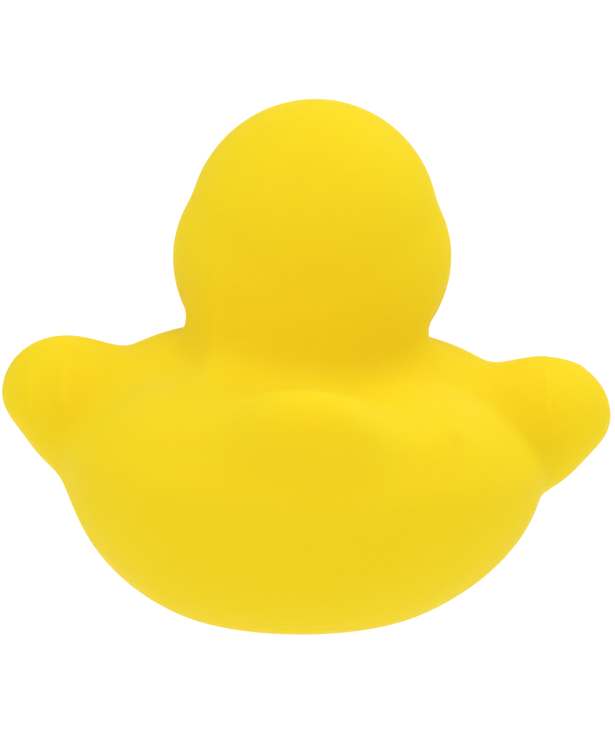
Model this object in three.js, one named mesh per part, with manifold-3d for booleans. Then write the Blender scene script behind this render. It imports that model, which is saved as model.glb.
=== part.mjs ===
// Rubber duck: one hollow moulding of soft vinyl, with an air hole in its flat base.
// Millimetres, +Z up, bill towards -Y, tail towards +Y. The origin is under the middle of the
// duck, on the surface that it stands on.

import * as THREE from 'three';
import { mergeVertices } from 'three/addons/utils/BufferGeometryUtils.js';
import Module from 'manifold-3d';

// Driving dimensions.

const wall = 2.4;
const airHole = { radius: 3.5, x: 0, y: 2, depth: 8, sides: 48 };
const base = { sunk: 0.4, rounding: 3 };

// The duck is built up from egg-shaped lumps that run smoothly into each other. A lump has the
// place of its middle, its half width, half length, depth below and height above its middle, its
// pitch about X and its bank about Y in degrees, and how softly it joins the lumps before it.
// Lumps off the middle plane stand for both sides of the duck. The wings join more softly behind
// than in front, and there one side is softer than the other.

const wingBehind = { from: -6, to: 6 };
const rounding = { reach: 1.5, depth: 0.25 };

const bodyLumps = [
  { name: 'hull', at: [0, 0, 22.7], width: 33.7, length: 36, below: 25.1, above: 11, blend: 0 },
  { name: 'breast', at: [0, -17, 23], width: 25, length: 20, below: 19, above: 12, blend: 6 },
  { name: 'rump', at: [0, 18, 24.5], width: 22, length: 15, below: 7.5, above: 8.2, pitch: 22, blend: 5 },
  { name: 'tail', at: [0, 27.4, 28.6], width: 9, length: 12, below: 6, above: 6, pitch: 34, blend: 7 },
  { name: 'flank', at: [15, 7, 24], width: 14.2, length: 19, below: 13, above: 10, pitch: 8, blend: 4 },
  { name: 'shoulder', at: [13.6, -7, 27.8], width: 15.9, length: 11, below: 9, above: 11, blend: 6.9 },
  {
    name: 'wing',
    at: [27.8, -4, 28.1],
    width: 12.6,
    length: 10.5,
    below: 11.6,
    above: 8,
    bank: -4.2,
    blend: 1.6,
    behind: { left: 5, right: 2.2 },
  },
  { name: 'wing tip', at: [34.1, -3.5, 29.4], width: 8.6, length: 9.5, below: 6.1, above: 7.9, blend: 2.9 },
  { name: 'neck', at: [0, -10, 34], width: 15, length: 12, below: 9, above: 6, blend: 5 },
];

const headLumps = [
  { name: 'crown', at: [0, -8, 54], width: 17.6, length: 17.8, below: 17.4, above: 17.8, blend: 0 },
  { name: 'cheeks', at: [0, -8.5, 49.6], width: 19.6, length: 17.5, below: 18, above: 16.8, blend: 0.6 },
];

// The moulding is a little crooked. It leans to one side about a middle height, and it is tilted
// so that one wing stands higher; the body's tilt grows from none at the base to its full value.

const crooked = { lean: 0.033, middle: 30, wingTilt: 0.038, headTilt: 0.019, top: 26.7 };

// The two halves of the bill, each a flattened ball that runs into the head at its root. The tip
// is thinner than the root and is lifted, the sides flare towards it, and the edges droop. The
// bill follows the lean of the head.

const upperBill = {
  at: [-0.5, -25, 47.4],
  width: 8.4,
  length: 13,
  rootThickness: 4.4,
  tipThickness: 2.2,
  flare: 0.3,
  lift: 2.2,
  droop: 1.4,
};
const lowerBill = {
  at: [-0.5, -25, 43.7],
  width: 6.6,
  length: 10.8,
  rootThickness: 3,
  tipThickness: 1.8,
  flare: 0.2,
  lift: 0.6,
  droop: 0.4,
};
const billEdge = 0.7;
const billSides = { around: 28, along: 14 };

// How finely each form is made, and how its rays are crowded: sideways towards the wings, and
// lengthways towards the tail. The inside is a coarser copy one wall thickness further in.

const forms = {
  body: {
    lumps: bodyLumps,
    tilt: crooked.wingTilt,
    flatBase: true,
    middle: [0, 0, 22],
    crowding: [1.7, 1.2, 1],
    detail: 13,
    insideDetail: 8,
  },
  head: {
    lumps: headLumps,
    tilt: crooked.headTilt,
    flatBase: false,
    middle: [0, -8, 48],
    crowding: [1, 1, 1],
    detail: 9,
    insideDetail: 6,
  },
};

// Farther than any point of the duck is from the middle of its form, and how a ray is searched.

const farReach = 60;
const search = { step: 0.6, halvings: 14 };

// Clay: signed distances of the lumps and of what they make together.

function lumpDistance(point, lump) {
  const local = point.clone();
  local.x = Math.abs(local.x);
  local.sub(new THREE.Vector3(...lump.at));
  local.applyAxisAngle(new THREE.Vector3(1, 0, 0), -THREE.MathUtils.degToRad(lump.pitch ?? 0));
  local.applyAxisAngle(new THREE.Vector3(0, 1, 0), -THREE.MathUtils.degToRad(lump.bank ?? 0));
  const size = new THREE.Vector3(lump.width, lump.length, local.z > 0 ? lump.above : lump.below);
  const scaled = local.clone().divide(size);
  const reach = scaled.length();
  const slope = Math.max(scaled.divide(size).length(), Number.EPSILON);
  return (reach * (reach - 1)) / slope;
}

// How softly a lump joins the others at a point.

function blendAt(point, lump) {
  if (!lump.behind) {
    return lump.blend;
  }
  const behind = point.x > 0 ? lump.behind.left : lump.behind.right;
  const share = THREE.MathUtils.smoothstep(point.y, wingBehind.from, wingBehind.to);
  return THREE.MathUtils.lerp(lump.blend, behind, share);
}

// The lesser of two distances, rounded where they are nearly the same.

function smoothLess(a, b, blend) {
  if (blend === 0) {
    return Math.min(a, b);
  }
  const reach = rounding.reach * blend;
  const share = Math.max(reach - Math.abs(a - b), 0) / reach;
  return Math.min(a, b) - rounding.depth * blend * share ** 3;
}

// Where a point of the crooked moulding would be on an even one.

function straightened(point, tilt) {
  const lean = crooked.lean * (point.z - crooked.middle);
  return new THREE.Vector3(point.x + lean, point.y, point.z - tilt * point.x);
}

function formDistance(point, form) {
  const share = form.flatBase ? THREE.MathUtils.smoothstep(point.z, 0, crooked.top) : 1;
  const even = straightened(point, share * form.tilt);
  const joined = form.lumps.reduce(
    (distance, lump) => smoothLess(distance, lumpDistance(even, lump), blendAt(even, lump)),
    Infinity,
  );
  return form.flatBase ? -smoothLess(-joined, point.z + base.sunk, base.rounding) : joined;
}

// The outermost place along a ray where the form is entered to the given depth.

function surfaceAlong(ray, form, depth) {
  const isIn = (reach) => formDistance(ray.at(reach, new THREE.Vector3()), form) < -depth;
  let outer = farReach;
  while (outer > search.step && !isIn(outer - search.step)) {
    outer -= search.step;
  }
  let inner = outer - search.step;
  for (let i = 0; i < search.halvings; i += 1) {
    const middle = (inner + outer) / 2;
    if (isIn(middle)) {
      inner = middle;
    } else {
      outer = middle;
    }
  }
  return ray.at((inner + outer) / 2, new THREE.Vector3());
}

// A ball whose points slide along their own rays onto the clay.

function mouldedGeometry(form, detail, depth) {
  const ball = new THREE.IcosahedronGeometry(1, detail);
  ball.deleteAttribute('normal');
  ball.deleteAttribute('uv');
  const geometry = mergeVertices(ball);
  const places = geometry.attributes.position;
  const middle = new THREE.Vector3(...form.middle);
  const crowding = new THREE.Vector3(...form.crowding);
  for (let i = 0; i < places.count; i += 1) {
    const direction = new THREE.Vector3().fromBufferAttribute(places, i).multiply(crowding).normalize();
    const place = surfaceAlong(new THREE.Ray(middle, direction), form, depth);
    places.setXYZ(i, place.x, place.y, place.z);
  }
  return geometry;
}

// One half of the bill: y runs from the tip at -1 to the root at 1. An edge power under 1 keeps
// the rim thick and round.

function billGeometry(bill) {
  const geometry = new THREE.SphereGeometry(1, billSides.around, billSides.along);
  const places = geometry.attributes.position;
  for (let i = 0; i < places.count; i += 1) {
    const unit = new THREE.Vector3().fromBufferAttribute(places, i);
    const forward = Math.max(-unit.y, 0);
    const thickness = THREE.MathUtils.lerp(bill.tipThickness, bill.rootThickness, (unit.y + 1) / 2);
    const side = unit.x * bill.width * (1 + bill.flare * forward);
    const height = Math.sign(unit.z) * Math.abs(unit.z) ** billEdge * thickness;
    const rise = bill.lift * forward ** 2 - bill.droop * unit.x ** 2;
    places.setXYZ(i, side, unit.y * bill.length, height + rise);
  }
  return geometry.translate(...bill.at);
}

// Joining and cutting.

const wasm = await Module();
wasm.setup();

function toSolid(geometry) {
  const bare = geometry.clone();
  bare.deleteAttribute('normal');
  bare.deleteAttribute('uv');
  const merged = mergeVertices(bare);
  return new wasm.Manifold(new wasm.Mesh({
    numProp: 3,
    vertProperties: new Float32Array(merged.attributes.position.array),
    triVerts: new Uint32Array(merged.index.array),
  }));
}

function toGeometry(solid) {
  const mesh = solid.getMesh();
  const geometry = new THREE.BufferGeometry();
  geometry.setAttribute('position', new THREE.BufferAttribute(mesh.vertProperties, 3));
  geometry.setIndex(new THREE.BufferAttribute(mesh.triVerts, 1));
  geometry.computeVertexNormals();
  return geometry;
}

function outside(form) {
  return toSolid(mouldedGeometry(form, form.detail, 0));
}

function inside(form) {
  return toSolid(mouldedGeometry(form, form.insideDetail, wall));
}

// What lies under the surface that the duck stands on, cut away to leave the flat base.

function belowBase() {
  const block = new THREE.BoxGeometry(2 * farReach, 2 * farReach, farReach);
  block.translate(0, 0, -farReach / 2);
  return toSolid(block);
}

function airHolePlug() {
  const plug = new THREE.CylinderGeometry(airHole.radius, airHole.radius, airHole.depth, airHole.sides);
  plug.rotateX(Math.PI / 2);
  plug.translate(airHole.x, airHole.y, 0);
  return toSolid(plug);
}

// The duck.

function duckGeometry() {
  const skin = outside(forms.body)
    .add(outside(forms.head))
    .add(toSolid(billGeometry(upperBill)))
    .add(toSolid(billGeometry(lowerBill)));
  const hollow = inside(forms.body).add(inside(forms.head));
  return toGeometry(skin.subtract(belowBase()).subtract(hollow).subtract(airHolePlug()));
}

function vinyl() {
  return new THREE.MeshStandardMaterial({ color: 0xf5d626, roughness: 0.45, metalness: 0 });
}

const duckBody = new THREE.Mesh(duckGeometry(), vinyl());
duckBody.name = 'duck_body';

const duck = new THREE.Group();
duck.add(duckBody);

export default duck;
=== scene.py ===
# Rubber duck in soft yellow vinyl, on a pale light table in soft studio light.

import math

import bmesh
import bpy
import numpy as np
from mathutils import Matrix, Vector


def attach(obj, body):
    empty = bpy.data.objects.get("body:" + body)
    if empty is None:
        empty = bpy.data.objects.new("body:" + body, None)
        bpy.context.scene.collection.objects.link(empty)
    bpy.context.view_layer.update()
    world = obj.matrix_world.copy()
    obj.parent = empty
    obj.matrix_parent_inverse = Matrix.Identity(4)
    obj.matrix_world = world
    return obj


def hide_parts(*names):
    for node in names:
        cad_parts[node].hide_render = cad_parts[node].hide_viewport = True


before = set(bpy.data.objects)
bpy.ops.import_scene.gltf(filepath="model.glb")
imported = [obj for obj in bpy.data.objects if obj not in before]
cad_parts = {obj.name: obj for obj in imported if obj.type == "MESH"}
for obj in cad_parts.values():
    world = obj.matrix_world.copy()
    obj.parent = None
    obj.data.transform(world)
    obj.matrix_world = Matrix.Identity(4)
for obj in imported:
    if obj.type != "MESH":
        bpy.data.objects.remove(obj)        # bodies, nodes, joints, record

mm = 0.001
scene = bpy.context.scene
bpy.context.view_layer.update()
cadNode = "duck_body"


# Camera, lights and floor. The floor is a light table: it glows, so it throws light up under the
# duck and takes only a faint shadow.

studio = {
    "azimuth": 180.0,       # degrees round the duck: 180 looks at its tail
    "elevation": 9.3,
    "roll": 0.4,
    "distance": 600 * mm,
    "lens": 210.8,
    "clipStart": 10 * mm,
    "aim": (-0.1 * mm, 0.0, 35.1 * mm),
    "floorSize": 6.0,
    "floorColour": (0.08, 0.08, 0.08, 1),
    "floorRoughness": 0.9,
    "floorGlow": 0.99,
    "skyStrength": 0.72,
    "lampSize": 0.6,
    "lamps": [              # power in watts and place in metres
        {"power": 1.2, "place": (0.01, 0.03, 1.0)},
        {"power": 1.5, "place": (-0.45, 0.6, 0.7)},
        {"power": 1.6, "place": (0.45, 0.6, 0.7)},
        {"power": 1.4, "place": (-0.5, -0.5, 0.7)},
    ],
}


def lookFrom(place, target, roll=0.0):
    back = (place - target).normalized()
    turn = back.to_track_quat("Z", "Y").to_matrix().to_4x4()
    return Matrix.Translation(place) @ turn @ Matrix.Rotation(math.radians(roll), 4, "Z")


def makeCamera(s):
    azimuth = math.radians(s["azimuth"])
    elevation = math.radians(s["elevation"])
    aim = Vector(s["aim"])
    back = Vector((
        math.sin(azimuth) * math.cos(elevation),
        -math.cos(azimuth) * math.cos(elevation),
        math.sin(elevation),
    ))
    camera = bpy.data.objects.new("camera", bpy.data.cameras.new("camera"))
    camera.data.lens = s["lens"]
    camera.data.clip_start = s["clipStart"]
    camera.matrix_world = lookFrom(aim + back * s["distance"], aim, s["roll"])
    scene.collection.objects.link(camera)
    scene.camera = camera


def makeLamp(lamp, size):
    light = bpy.data.objects.new("softLight", bpy.data.lights.new("softLight", "AREA"))
    light.data.shape = "DISK"
    light.data.size = size
    light.data.energy = lamp["power"]
    light.matrix_world = lookFrom(Vector(lamp["place"]), Vector((0, 0, 0)))
    scene.collection.objects.link(light)


def makeSky(strength):
    world = bpy.data.worlds.new("studioSky")
    world.use_nodes = True
    sky = world.node_tree.nodes["Background"]
    sky.inputs["Color"].default_value = (1, 1, 1, 1)
    sky.inputs["Strength"].default_value = strength
    scene.world = world


def makeFloor(s):
    bm = bmesh.new()
    bmesh.ops.create_grid(bm, x_segments=1, y_segments=1, size=s["floorSize"] / 2)
    mesh = bpy.data.meshes.new("floor")
    bm.to_mesh(mesh)
    bm.free()
    glass = bpy.data.materials.new("lightTable")
    glass.use_nodes = True
    shader = glass.node_tree.nodes["Principled BSDF"]
    shader.inputs["Base Color"].default_value = s["floorColour"]
    shader.inputs["Roughness"].default_value = s["floorRoughness"]
    shader.inputs["Specular IOR Level"].default_value = 0.0
    shader.inputs["Emission Color"].default_value = (1, 1, 1, 1)
    shader.inputs["Emission Strength"].default_value = s["floorGlow"]
    mesh.materials.append(glass)
    floor = bpy.data.objects.new("floor", mesh)
    scene.collection.objects.link(floor)


makeCamera(studio)
for lamp in studio["lamps"]:
    makeLamp(lamp, studio["lampSize"])
makeSky(studio["skyStrength"])
makeFloor(studio)
scene.view_settings.view_transform = "Standard"
print("studio made")


# Egg-shaped lumps of clay in millimetres, as the frame has them: each has its middle, its half
# width, half length, depth below and height above, its pitch and bank in degrees, and how softly
# it runs into the lumps before it. Those off the middle plane stand for both sides. A wing has
# another softness behind, on the left and on the right.

bodyClay = [
    {"at": (0, 0, 22.7), "size": (33.7, 36, 25.1, 11), "blend": 0},                     # hull
    {"at": (0, -17, 23), "size": (25, 20, 19, 12), "blend": 6},                         # breast
    {"at": (0, 18, 24.5), "size": (22, 15, 7.5, 8.2), "pitch": 22, "blend": 5},         # rump
    {"at": (0, 27.4, 28.6), "size": (9, 12, 6, 6), "pitch": 34, "blend": 7},            # tail
    {"at": (15, 7, 24), "size": (14.2, 19, 13, 10), "pitch": 8, "blend": 4},            # flank
    {"at": (13.6, -7, 27.8), "size": (15.9, 11, 9, 11), "blend": 6.9},                  # shoulder
    {"at": (27.8, -4, 28.1), "size": (12.6, 10.5, 11.6, 8), "bank": -4.2,
     "blend": 1.6, "behind": (5, 2.2)},                                                 # wing
    {"at": (34.1, -3.5, 29.4), "size": (8.6, 9.5, 6.1, 7.9), "blend": 2.9},             # wing tip
    {"at": (0, -10, 34), "size": (15, 12, 9, 6), "blend": 5},                           # neck
]

headClay = [
    {"at": (0, -8, 54), "size": (17.6, 17.8, 17.4, 17.8), "blend": 0},                  # crown
    {"at": (0, -8.5, 49.6), "size": (19.6, 17.5, 18, 16.8), "blend": 0.6},              # cheeks
]

# The moulding is a little crooked: it leans to one side, and one wing stands higher.
crooked = {"lean": 0.033, "middle": 30.0, "wingTilt": 0.038, "headTilt": 0.019, "top": 26.7}

rounding = {"reach": 1.5, "depth": 0.25}    # of a join, as shares of its softness
wingBehind = (-6, 6)                        # where a wing's softness eases into that behind it

bill = {
    "edge": 0.7,            # under 1 keeps the rim thick and round
    "halves": [
        {"at": (-0.5, -25.0, 47.4), "width": 8.4, "length": 13.0, "root": 4.4, "tip": 2.2,
         "flare": 0.3, "lift": 2.2, "droop": 1.4},
        {"at": (-0.5, -25.0, 43.7), "width": 6.6, "length": 10.8, "root": 3.0, "tip": 1.8,
         "flare": 0.2, "lift": 0.6, "droop": 0.4},
    ],
    "segments": (32, 20),
    "past": 1.2,            # how far out its curves go on, in half lengths and half widths
    "gentlest": 0.02,       # the least slope that its form is taken to have
    "nostril": {"apart": 2.5, "y": -30.0, "size": (0.75, 1.2), "deep": 0.8},
    "paint": {"onHead": 0.25, "offBill": 0.9},   # how far the paint goes past the bill's own faces
}

skin = {
    "voxel": 0.52,   # size of the evened faces
    "wall": 2.4,
    "baseRounding": 2.0,
    "billFillet": 1.2,
    "airHole": {"radius": 3.5, "y": 2.0, "depth": 8.0, "from": -1.0, "segments": 64},
    "sharpFrom": 60.0,      # an edge that turns by more degrees than this shows as an edge
}

# The head runs softly into the back behind it, more so on the left, and stands sharp elsewhere.
neckFillet = {
    "left": 15.0,
    "right": 7.0,
    "tight": 1.3,
    "side": (-15.0, 1.0),
    "outer": (12.5, 18.5),
    "rear": (-8.5, 0.0),
}

# Each wing is modelled as overlapping feathers: a face rises gently outwards to a rounded end and
# then steps down. Places are distances from the middle plane, and heights above the base.
feathers = {
    "starts": (27.0, 33.9),
    "ends": (33.4, 38.4),
    "steps": (0.32, 0.18),
    "edge": 0.8,
    "arc": 0.6,             # how far an end bulges outwards at its middle
    "inward": 2.0,          # and how far it draws in, at most, above and below
    "middle": 33.0,
    "half": 4.0,
    "fade": (28.0, 31.5),
    "top": (34.5, 37.0),
}

eye = {
    "middle": -0.9,
    "at": (7.9, -23.4, 57.6),   # from the middle line between the eyes
    "turn": 27.0,
    "front": -12.0,             # there is no eye behind this
    "white": {"size": (3.2, 4.3), "shift": (0.0, 0.0)},
    "pupil": {"size": (2.0, 3.0), "shift": (-0.35, -0.55)},
    "glint": {"size": (0.7, 0.85), "shift": (-0.9, 0.9)},
    "bulge": 0.55,
}

tiny = 1e-9


def lumpDistance(points, lump):
    local = points.copy()
    local[:, 0] = np.abs(local[:, 0])
    local -= lump["at"]
    pitch = Matrix.Rotation(math.radians(-lump.get("pitch", 0)), 3, "X")
    bank = Matrix.Rotation(math.radians(-lump.get("bank", 0)), 3, "Y")
    local = local @ np.array(bank @ pitch).T
    width, length, below, above = lump["size"]
    size = np.empty_like(local)
    size[:, 0] = width
    size[:, 1] = length
    size[:, 2] = np.where(local[:, 2] > 0, above, below)
    reach = np.linalg.norm(local / size, axis=1)
    slope = np.linalg.norm(local / size ** 2, axis=1)
    return reach * (reach - 1) / np.maximum(slope, tiny)


def smoothLess(a, b, blend):
    # the lesser of two distances, rounded where they are nearly the same
    wide = np.maximum(rounding["reach"] * blend, tiny)
    share = np.maximum(wide - np.abs(a - b), 0) / wide
    return np.minimum(a, b) - rounding["depth"] * blend * share ** 3


def smoothStep(low, high, values):
    share = np.clip((values - low) / (high - low), 0, 1)
    return share ** 2 * (3 - 2 * share)


def clayDistance(points, clay):
    distance = lumpDistance(points, clay[0])
    for lump in clay[1:]:
        blend = lump["blend"]
        if "behind" in lump:
            behind = np.where(points[:, 0] > 0, *lump["behind"])
            blend = blend + (behind - blend) * smoothStep(*wingBehind, points[:, 1])
        distance = smoothLess(distance, lumpDistance(points, lump), blend)
    return distance


def straightened(points, tilt):
    # where points of the crooked moulding would be on an even one
    even = points.copy()
    even[:, 0] += crooked["lean"] * (points[:, 2] - crooked["middle"])
    even[:, 2] -= tilt * points[:, 0]
    return even


def bodyDistance(points):
    tilt = crooked["wingTilt"] * smoothStep(0, crooked["top"], points[:, 2])
    clay = clayDistance(straightened(points, tilt), bodyClay)
    return -smoothLess(-clay, points[:, 2], skin["baseRounding"])


def headDistance(points):
    return clayDistance(straightened(points, crooked["headTilt"]), headClay)


def slopeOf(field, points, step=0.05):
    slope = np.empty_like(points)
    for axis in range(3):
        move = np.zeros(3)
        move[axis] = step
        slope[:, axis] = (field(points + move) - field(points - move)) / (2 * step)
    return slope


def billForm(points, half):
    local = points - half["at"]
    along = local[:, 1] / half["length"]
    forward = np.clip(-along, 0, bill["past"])
    thickness = half["tip"] + (half["root"] - half["tip"]) * (np.clip(along, -1, 1) + 1) / 2
    side = local[:, 0] / (half["width"] * (1 + half["flare"] * forward))
    rise = half["lift"] * forward ** 2 - half["droop"] * np.clip(side, -bill["past"], bill["past"]) ** 2
    height = (np.abs(local[:, 2] - rise) / thickness) ** (1 / bill["edge"])
    return np.sqrt(side ** 2 + along ** 2 + height ** 2) - 1


def billDistance(points):
    distances = []
    for half in bill["halves"]:
        steep = np.linalg.norm(slopeOf(lambda places: billForm(places, half), points), axis=1)
        distances.append(billForm(points, half) / np.maximum(steep, bill["gentlest"]))
    return np.minimum(*distances)


def eyePlace(points):
    # across and up the face of the eye, in millimetres from its middle
    turn = math.radians(eye["turn"])
    local = points - eye["at"]
    local[:, 0] = np.abs(points[:, 0] - eye["middle"]) - eye["at"][0]
    return local[:, 0] * math.cos(turn) + local[:, 1] * math.sin(turn), local[:, 2]


def eyeRelief(points):
    across, up = eyePlace(points)
    width, height = eye["white"]["size"]
    spread = (across / width) ** 2 + (up / height) ** 2
    inFront = points[:, 1] < eye["front"]
    return np.where(inFront, eye["bulge"] * np.sqrt(np.clip(1 - spread, 0, 1)), 0)


def nostrilRelief(points):
    nostril = bill["nostril"]
    middle, _, height = bill["halves"][0]["at"]
    width, length = nostril["size"]
    across = (np.abs(points[:, 0] - middle) - nostril["apart"]) / width
    along = (points[:, 1] - nostril["y"]) / length
    spread = across ** 2 + along ** 2
    onTop = points[:, 2] > height
    return np.where(onTop, -nostril["deep"] * np.clip(1 - spread, 0, 1), 0)


def featherRelief(points):
    f = feathers
    out = np.abs(points[:, 0])
    height = points[:, 2]
    bulge = f["arc"] * (1 - ((height - f["middle"]) / f["half"]) ** 2)
    out = out - np.clip(bulge, -f["inward"], f["arc"])
    relief = np.zeros(len(points))
    for start, end, step in zip(f["starts"], f["ends"], f["steps"]):
        rise = np.clip((out - start) / (end - start), 0, 1)
        fall = 1 - smoothStep(end - f["edge"] / 2, end + f["edge"] / 2, out)
        relief += step * rise ** 2 * fall
    return relief * smoothStep(*f["fade"], height) * (1 - smoothStep(*f["top"], height))


def skinDistance(points):
    n = neckFillet
    leftness = smoothStep(*n["side"], points[:, 0]) * (1 - smoothStep(*n["outer"], points[:, 0]))
    wide = n["right"] + (n["left"] - n["right"]) * leftness
    fillet = n["tight"] + (wide - n["tight"]) * smoothStep(*n["rear"], points[:, 1])
    distance = smoothLess(bodyDistance(points), headDistance(points), fillet)
    distance = smoothLess(distance, billDistance(points), skin["billFillet"])
    return distance - eyeRelief(points) - nostrilRelief(points) - featherRelief(points)


# Making the mesh. The body and the head start as balls round a middle, whose rays are crowded
# towards the wings and the tail.

balls = {
    "body": {"middle": (0, 0, 22), "crowding": (1.7, 1.2, 1), "skin": 6, "hollow": 5},
    "head": {"middle": (0, -8, 48), "crowding": (1, 1, 1), "skin": 5, "hollow": 4},
}

# How a ray is searched from outside in, and how often the evened faces are smoothed and their
# points moved back onto the clay.
search = {"far": 60.0, "step": 1.0, "halvings": 14}
settling = {"rounds": 3, "smooths": 2, "moves": 3, "longest": 1.0, "gentlest": 0.05}


def placesOf(bm):
    return np.array([v.co for v in bm.verts], float)


def setPlaces(bm, places):
    for vertex, place in zip(bm.verts, places):
        vertex.co = place


def mouldedBall(bm, field, ball, subdivisions, depth=0.0):
    # a ball whose points slide along their own rays onto the clay
    before = len(bm.verts)
    bmesh.ops.create_icosphere(bm, subdivisions=subdivisions, radius=1.0)
    bm.verts.ensure_lookup_table()
    new = bm.verts[before:]
    rays = np.array([v.co for v in new], float) * ball["crowding"]
    rays /= np.linalg.norm(rays, axis=1)[:, None]

    def isIn(reach):
        return field(ball["middle"] + rays * reach[:, None]) < -depth

    outer = np.full(len(new), search["far"])
    searching = np.ones(len(new), bool)
    while searching.any():
        searching &= ~isIn(outer - search["step"]) & (outer > search["step"])
        outer[searching] -= search["step"]
    inner = outer - search["step"]
    for _ in range(search["halvings"]):
        half = (inner + outer) / 2
        held = isIn(half)
        inner = np.where(held, half, inner)
        outer = np.where(held, outer, half)
    for vertex, place in zip(new, ball["middle"] + rays * ((inner + outer) / 2)[:, None]):
        vertex.co = place


def billBall(bm, half):
    around, along = bill["segments"]
    lying = Matrix.Rotation(math.pi / 2, 4, "X")
    made = bmesh.ops.create_uvsphere(bm, u_segments=around, v_segments=along, radius=1.0, matrix=lying)
    for vertex in made["verts"]:
        x, y, z = vertex.co
        forward = max(-y, 0)
        thickness = half["tip"] + (half["root"] - half["tip"]) * (y + 1) / 2
        side = x * half["width"] * (1 + half["flare"] * forward)
        height = math.copysign(abs(z) ** bill["edge"], z) * thickness
        rise = half["lift"] * forward ** 2 - half["droop"] * x ** 2
        vertex.co = Vector(half["at"]) + Vector((side, y * half["length"], height + rise))


def pieceFrom(bm, name):
    # millimetres to metres, and into an object of its own
    bmesh.ops.scale(bm, vec=(mm, mm, mm), verts=bm.verts)
    bmesh.ops.recalc_face_normals(bm, faces=bm.faces)
    mesh = bpy.data.meshes.new(name)
    bm.to_mesh(mesh)
    bm.free()
    piece = bpy.data.objects.new(name, mesh)
    scene.collection.objects.link(piece)
    return piece


def applyModifiers(piece):
    depsgraph = bpy.context.evaluated_depsgraph_get()
    mesh = bpy.data.meshes.new_from_object(piece.evaluated_get(depsgraph))
    piece.modifiers.clear()
    piece.data = mesh


def evened(piece, size):
    remesh = piece.modifiers.new("even", "REMESH")
    remesh.mode = "VOXEL"
    remesh.voxel_size = size
    applyModifiers(piece)


def ontoClay(places, field):
    # each point moves along its slope, by no more than the longest move
    slope = slopeOf(field, places)
    size = np.maximum((slope ** 2).sum(axis=1), settling["gentlest"])
    step = (field(places) / size)[:, None] * slope
    length = np.maximum(np.linalg.norm(step, axis=1)[:, None], tiny)
    return places - step * np.minimum(1, settling["longest"] / length)


def settled(piece, field):
    # relax the faces, then put every point back on the clay
    bm = bmesh.new()
    bm.from_mesh(piece.data)
    bmesh.ops.scale(bm, vec=(1 / mm,) * 3, verts=bm.verts)
    for _ in range(settling["rounds"]):
        for _ in range(settling["smooths"]):
            bmesh.ops.smooth_vert(
                bm, verts=bm.verts, factor=0.5, use_axis_x=True, use_axis_y=True, use_axis_z=True)
        places = placesOf(bm)
        for _ in range(settling["moves"]):
            places = ontoClay(places, field)
        setPlaces(bm, places)
    bmesh.ops.scale(bm, vec=(mm, mm, mm), verts=bm.verts)
    bm.to_mesh(piece.data)
    bm.free()


def cut(piece, tool):
    boolean = piece.modifiers.new("cut", "BOOLEAN")
    boolean.operation = "DIFFERENCE"
    boolean.solver = "MANIFOLD"
    boolean.object = tool
    applyModifiers(piece)
    bpy.data.objects.remove(tool)


def makeSkin():
    bm = bmesh.new()
    for name, field in (("body", bodyDistance), ("head", headDistance)):
        mouldedBall(bm, field, balls[name], balls[name]["skin"])
    for half in bill["halves"]:
        billBall(bm, half)
    piece = pieceFrom(bm, "duckSkin")
    evened(piece, skin["voxel"] * mm)
    print("skin evened:", len(piece.data.polygons), "faces")
    settled(piece, skinDistance)
    return piece


def makeHollow(name, field):
    bm = bmesh.new()
    mouldedBall(bm, field, balls[name], balls[name]["hollow"], skin["wall"])
    return pieceFrom(bm, name + "Hollow")


def makeAirHole():
    hole = skin["airHole"]
    bm = bmesh.new()
    middle = Matrix.Translation((0, hole["y"], hole["from"] + hole["depth"] / 2))
    bmesh.ops.create_cone(
        bm, cap_ends=True, segments=hole["segments"], radius1=hole["radius"], radius2=hole["radius"],
        depth=hole["depth"], matrix=middle)
    return pieceFrom(bm, "airHole")


def shadeSmooth(piece, sharpFrom):
    # smooth but where the faces turn sharply, as at the air hole's rim and between the bill's halves
    bm = bmesh.new()
    bm.from_mesh(piece.data)
    for face in bm.faces:
        face.smooth = True
    for edge in bm.edges:
        edge.smooth = edge.calc_face_angle(0) < math.radians(sharpFrom)
    bm.to_mesh(piece.data)
    bm.free()


def storePaint(piece):
    # how far inside the bill's paint each point is, in millimetres
    places = np.array([v.co for v in piece.data.vertices], float) / mm
    fromBill = billDistance(places)
    onHead = headDistance(places) - fromBill + bill["paint"]["onHead"]
    inside = np.minimum(onHead, bill["paint"]["offBill"] - fromBill)
    paint = piece.data.attributes.new("billPaint", "FLOAT", "POINT")
    paint.data.foreach_set("value", inside)


duckSkin = makeSkin()
cut(duckSkin, makeHollow("body", bodyDistance))
cut(duckSkin, makeHollow("head", headDistance))
cut(duckSkin, makeAirHole())
shadeSmooth(duckSkin, skin["sharpFrom"])
storePaint(duckSkin)
print("skin cut:", len(duckSkin.data.polygons), "faces")


# Finishes. The vinyl is satin, with a faint mottle and a fine grain. The bill and the eyes are
# sprayed on through masks, and use has left two specks and a faint smudge.

vinylFinish = {
    "colour": (0.865, 0.640, 0.0168, 1),
    "deeper": (0.840, 0.605, 0.0140, 1),
    "mottle": {"scale": 60.0, "detail": 3.0, "range": (0.3, 0.7)},     # scales are per metre
    "grain": {"scale": 1800.0, "detail": 2.0, "height": 0.015 * mm, "strength": 0.5},
    "roughness": (0.44, 0.56),
    "specular": 0.012,
    "subsurface": 0.5,
    "glowDepth": 3.5 * mm,
    "glowColour": (1.0, 0.8, 0.15),      # how much farther red goes than blue
}

paintFinish = {
    "bill": (0.80, 0.16, 0.008, 1),
    "billShade": (0.62, 0.09, 0.005, 1),
    "white": (0.83, 0.83, 0.80, 1),
    "black": (0.008, 0.008, 0.009, 1),
    "feather": 0.15,         # how soft a sprayed edge is, in millimetres
    "roughness": 0.3,
    "coat": 0.5,
    "coatRoughness": 0.12,
}

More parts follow.
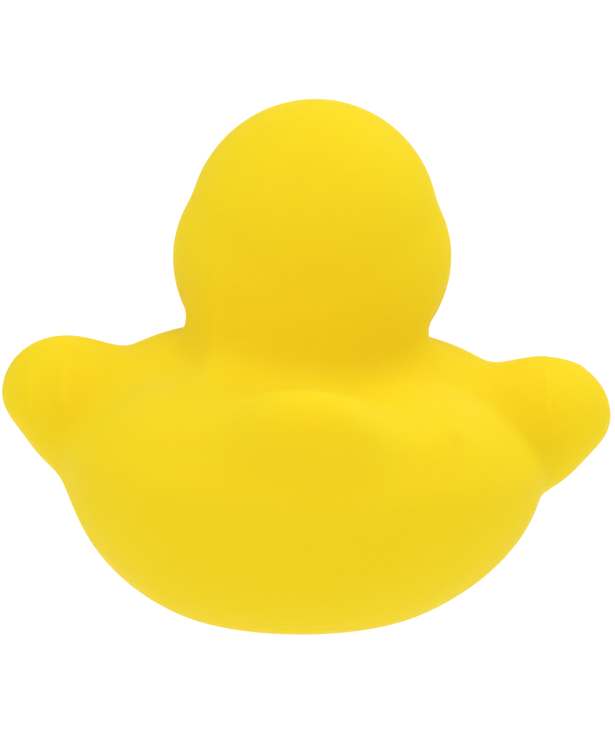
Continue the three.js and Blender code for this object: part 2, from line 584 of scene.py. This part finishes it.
# A mark's core is the share of its size that has the full colour.
marks = {
    "specks": {
        "places": [(-9.7, 5.3, 36.2), (-32.0, 11.2, 23.3)],
        "size": 0.24,
        "core": 0.3,
        "colour": (0.45, 0.26, 0.01, 1),
    },
    "smudge": {
        "at": (-20.3, 24.1, 29.5),
        "size": 2.4,
        "core": 0.2,
        "colour": (0.80, 0.52, 0.012, 1),
        "strength": 0.28,
    },
}


def addNode(tree, kind, inputs=None, **settings):
    node = tree.nodes.new("ShaderNode" + kind)
    for name, value in settings.items():
        setattr(node, name, value)
    for name, value in (inputs or {}).items():
        if isinstance(value, bpy.types.NodeSocket):
            tree.links.new(value, node.inputs[name])
        else:
            node.inputs[name].default_value = value
    return node


def mixed(tree, mask, a, b):
    node = addNode(tree, "Mix", {"Factor": mask}, data_type="RGBA")
    for name, value in (("A", a), ("B", b)):
        if isinstance(value, bpy.types.NodeSocket):
            tree.links.new(value, node.inputs[name])
        else:
            node.inputs[name].default_value = value
    return node.outputs["Result"]


def ranged(tree, value, fromRange, toRange=(0.0, 1.0), smooth=False):
    node = addNode(tree, "MapRange", {
        "Value": value, "From Min": fromRange[0], "From Max": fromRange[1],
        "To Min": toRange[0], "To Max": toRange[1]})
    node.interpolation_type = "SMOOTHSTEP" if smooth else "LINEAR"
    return node.outputs["Result"]


def noise(tree, place, n):
    inputs = {"Vector": place, "Scale": n["scale"], "Detail": n["detail"]}
    return addNode(tree, "TexNoise", inputs).outputs["Fac"]


def makeOvalMask():
    # 1 inside an oval on the eye's face, 0 outside it
    group = bpy.data.node_groups.new("ovalMask", "ShaderNodeTree")
    face = group.interface
    face.new_socket("Place", in_out="INPUT", socket_type="NodeSocketVector")
    face.new_socket("Shift", in_out="INPUT", socket_type="NodeSocketVector")
    face.new_socket("Size", in_out="INPUT", socket_type="NodeSocketVector")
    face.new_socket("Softness", in_out="INPUT", socket_type="NodeSocketFloat")
    face.new_socket("Mask", in_out="OUTPUT", socket_type="NodeSocketFloat")
    given = group.nodes.new("NodeGroupInput").outputs
    result = group.nodes.new("NodeGroupOutput")
    moved = addNode(group, "VectorMath", {0: given["Place"], 1: given["Shift"]}, operation="SUBTRACT")
    scaled = addNode(group, "VectorMath", {0: moved.outputs[0], 1: given["Size"]}, operation="DIVIDE")
    reach = addNode(group, "VectorMath", {0: scaled.outputs[0]}, operation="LENGTH")
    inner = addNode(group, "Math", {0: 1.0, 1: given["Softness"]}, operation="SUBTRACT")
    mask = addNode(group, "MapRange", {
        "Value": reach.outputs["Value"], "From Min": inner.outputs[0], "From Max": 1.0,
        "To Min": 1.0, "To Max": 0.0}, interpolation_type="SMOOTHSTEP")
    group.links.new(mask.outputs["Result"], result.inputs["Mask"])
    return group


def eyeFace(tree, place):
    # the same face coordinates as eyePlace gives, in millimetres, and a mask of the duck's front
    parts = addNode(tree, "SeparateXYZ", {"Vector": place})
    x = addNode(tree, "Math", {0: parts.outputs["X"], 1: eye["middle"] * mm}, operation="SUBTRACT")
    x = addNode(tree, "Math", {0: x.outputs[0]}, operation="ABSOLUTE")
    even = addNode(tree, "CombineXYZ", {
        "X": x.outputs[0], "Y": parts.outputs["Y"], "Z": parts.outputs["Z"]})
    turn = Matrix.Rotation(math.radians(-eye["turn"]), 3, "Z")
    shift = -(turn @ Vector(eye["at"]))
    turned = addNode(tree, "Mapping", {
        "Vector": even.outputs["Vector"], "Location": shift, "Rotation": (0, 0, math.radians(-eye["turn"])),
        "Scale": (1 / mm, 1 / mm, 1 / mm)})
    face = addNode(tree, "VectorMath", {0: turned.outputs["Vector"], 1: (1, 0, 1)}, operation="MULTIPLY")
    front = addNode(tree, "Math", {0: parts.outputs["Y"], 1: eye["front"] * mm}, operation="LESS_THAN")
    return face.outputs[0], front.outputs[0]


def ovalOf(tree, group, face, oval):
    node = addNode(tree, "Group", node_tree=group)
    tree.links.new(face, node.inputs["Place"])
    width, height = oval["size"]
    across, up = oval["shift"]
    node.inputs["Shift"].default_value = (across, 0, up)
    node.inputs["Size"].default_value = (width, 1, height)
    node.inputs["Softness"].default_value = paintFinish["feather"] / width
    return node.outputs["Mask"]


def spotMask(tree, place, at, mark):
    away = addNode(tree, "VectorMath", {0: place, 1: Vector(at) * mm}, operation="DISTANCE")
    size = mark["size"] * mm
    return ranged(tree, away.outputs["Value"], (size * mark["core"], size), (1.0, 0.0), smooth=True)


def makeVinyl(v, paint):
    material = bpy.data.materials.new("yellowVinyl")
    material.use_nodes = True
    tree = material.node_tree
    shader = tree.nodes["Principled BSDF"]
    place = addNode(tree, "TexCoord").outputs["Object"]

    mottle = noise(tree, place, v["mottle"])
    colour = mixed(tree, mottle, v["colour"], v["deeper"])
    smudge = marks["smudge"]
    smudged = spotMask(tree, place, smudge["at"], smudge)
    smudged = addNode(tree, "Math", {0: smudged, 1: smudge["strength"]}, operation="MULTIPLY").outputs[0]
    colour = mixed(tree, smudged, colour, smudge["colour"])
    specks = marks["specks"]
    for at in specks["places"]:
        colour = mixed(tree, spotMask(tree, place, at, specks), colour, specks["colour"])

    feather = paint["feather"]
    billPaint = addNode(tree, "Attribute", attribute_name="billPaint").outputs["Fac"]
    onBill = ranged(tree, billPaint, (-feather / 2, feather / 2), smooth=True)
    billColour = mixed(tree, mottle, paint["bill"], paint["billShade"])
    colour = mixed(tree, onBill, colour, billColour)

    face, front = eyeFace(tree, place)
    oval = makeOvalMask()
    painted = onBill
    for name, tone in (("white", "white"), ("pupil", "black"), ("glint", "white")):
        mask = ovalOf(tree, oval, face, eye[name])
        mask = addNode(tree, "Math", {0: mask, 1: front}, operation="MULTIPLY").outputs[0]
        colour = mixed(tree, mask, colour, paint[tone])
        painted = addNode(tree, "Math", {0: painted, 1: mask}, operation="MAXIMUM").outputs[0]
    tree.links.new(colour, shader.inputs["Base Color"])

    gloss = ranged(tree, mottle, v["mottle"]["range"], v["roughness"])
    gloss = addNode(tree, "Mix", {"Factor": painted, "A": gloss, "B": paint["roughness"]}, data_type="FLOAT")
    tree.links.new(gloss.outputs["Result"], shader.inputs["Roughness"])
    coat = addNode(tree, "Math", {0: painted, 1: paint["coat"]}, operation="MULTIPLY")
    tree.links.new(coat.outputs[0], shader.inputs["Coat Weight"])

    grain = v["grain"]
    bump = addNode(tree, "Bump", {
        "Strength": grain["strength"], "Distance": grain["height"], "Height": noise(tree, place, grain)})
    tree.links.new(bump.outputs["Normal"], shader.inputs["Normal"])

    shader.inputs["Coat Roughness"].default_value = paint["coatRoughness"]
    shader.inputs["Specular IOR Level"].default_value = v["specular"]
    shader.inputs["Subsurface Weight"].default_value = v["subsurface"]
    shader.inputs["Subsurface Radius"].default_value = v["glowColour"]
    shader.inputs["Subsurface Scale"].default_value = v["glowDepth"]
    return material


duckSkin.data.materials.clear()
duckSkin.data.materials.append(makeVinyl(vinylFinish, paintFinish))
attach(duckSkin, "root")
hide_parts(cadNode)
print("finishes made")
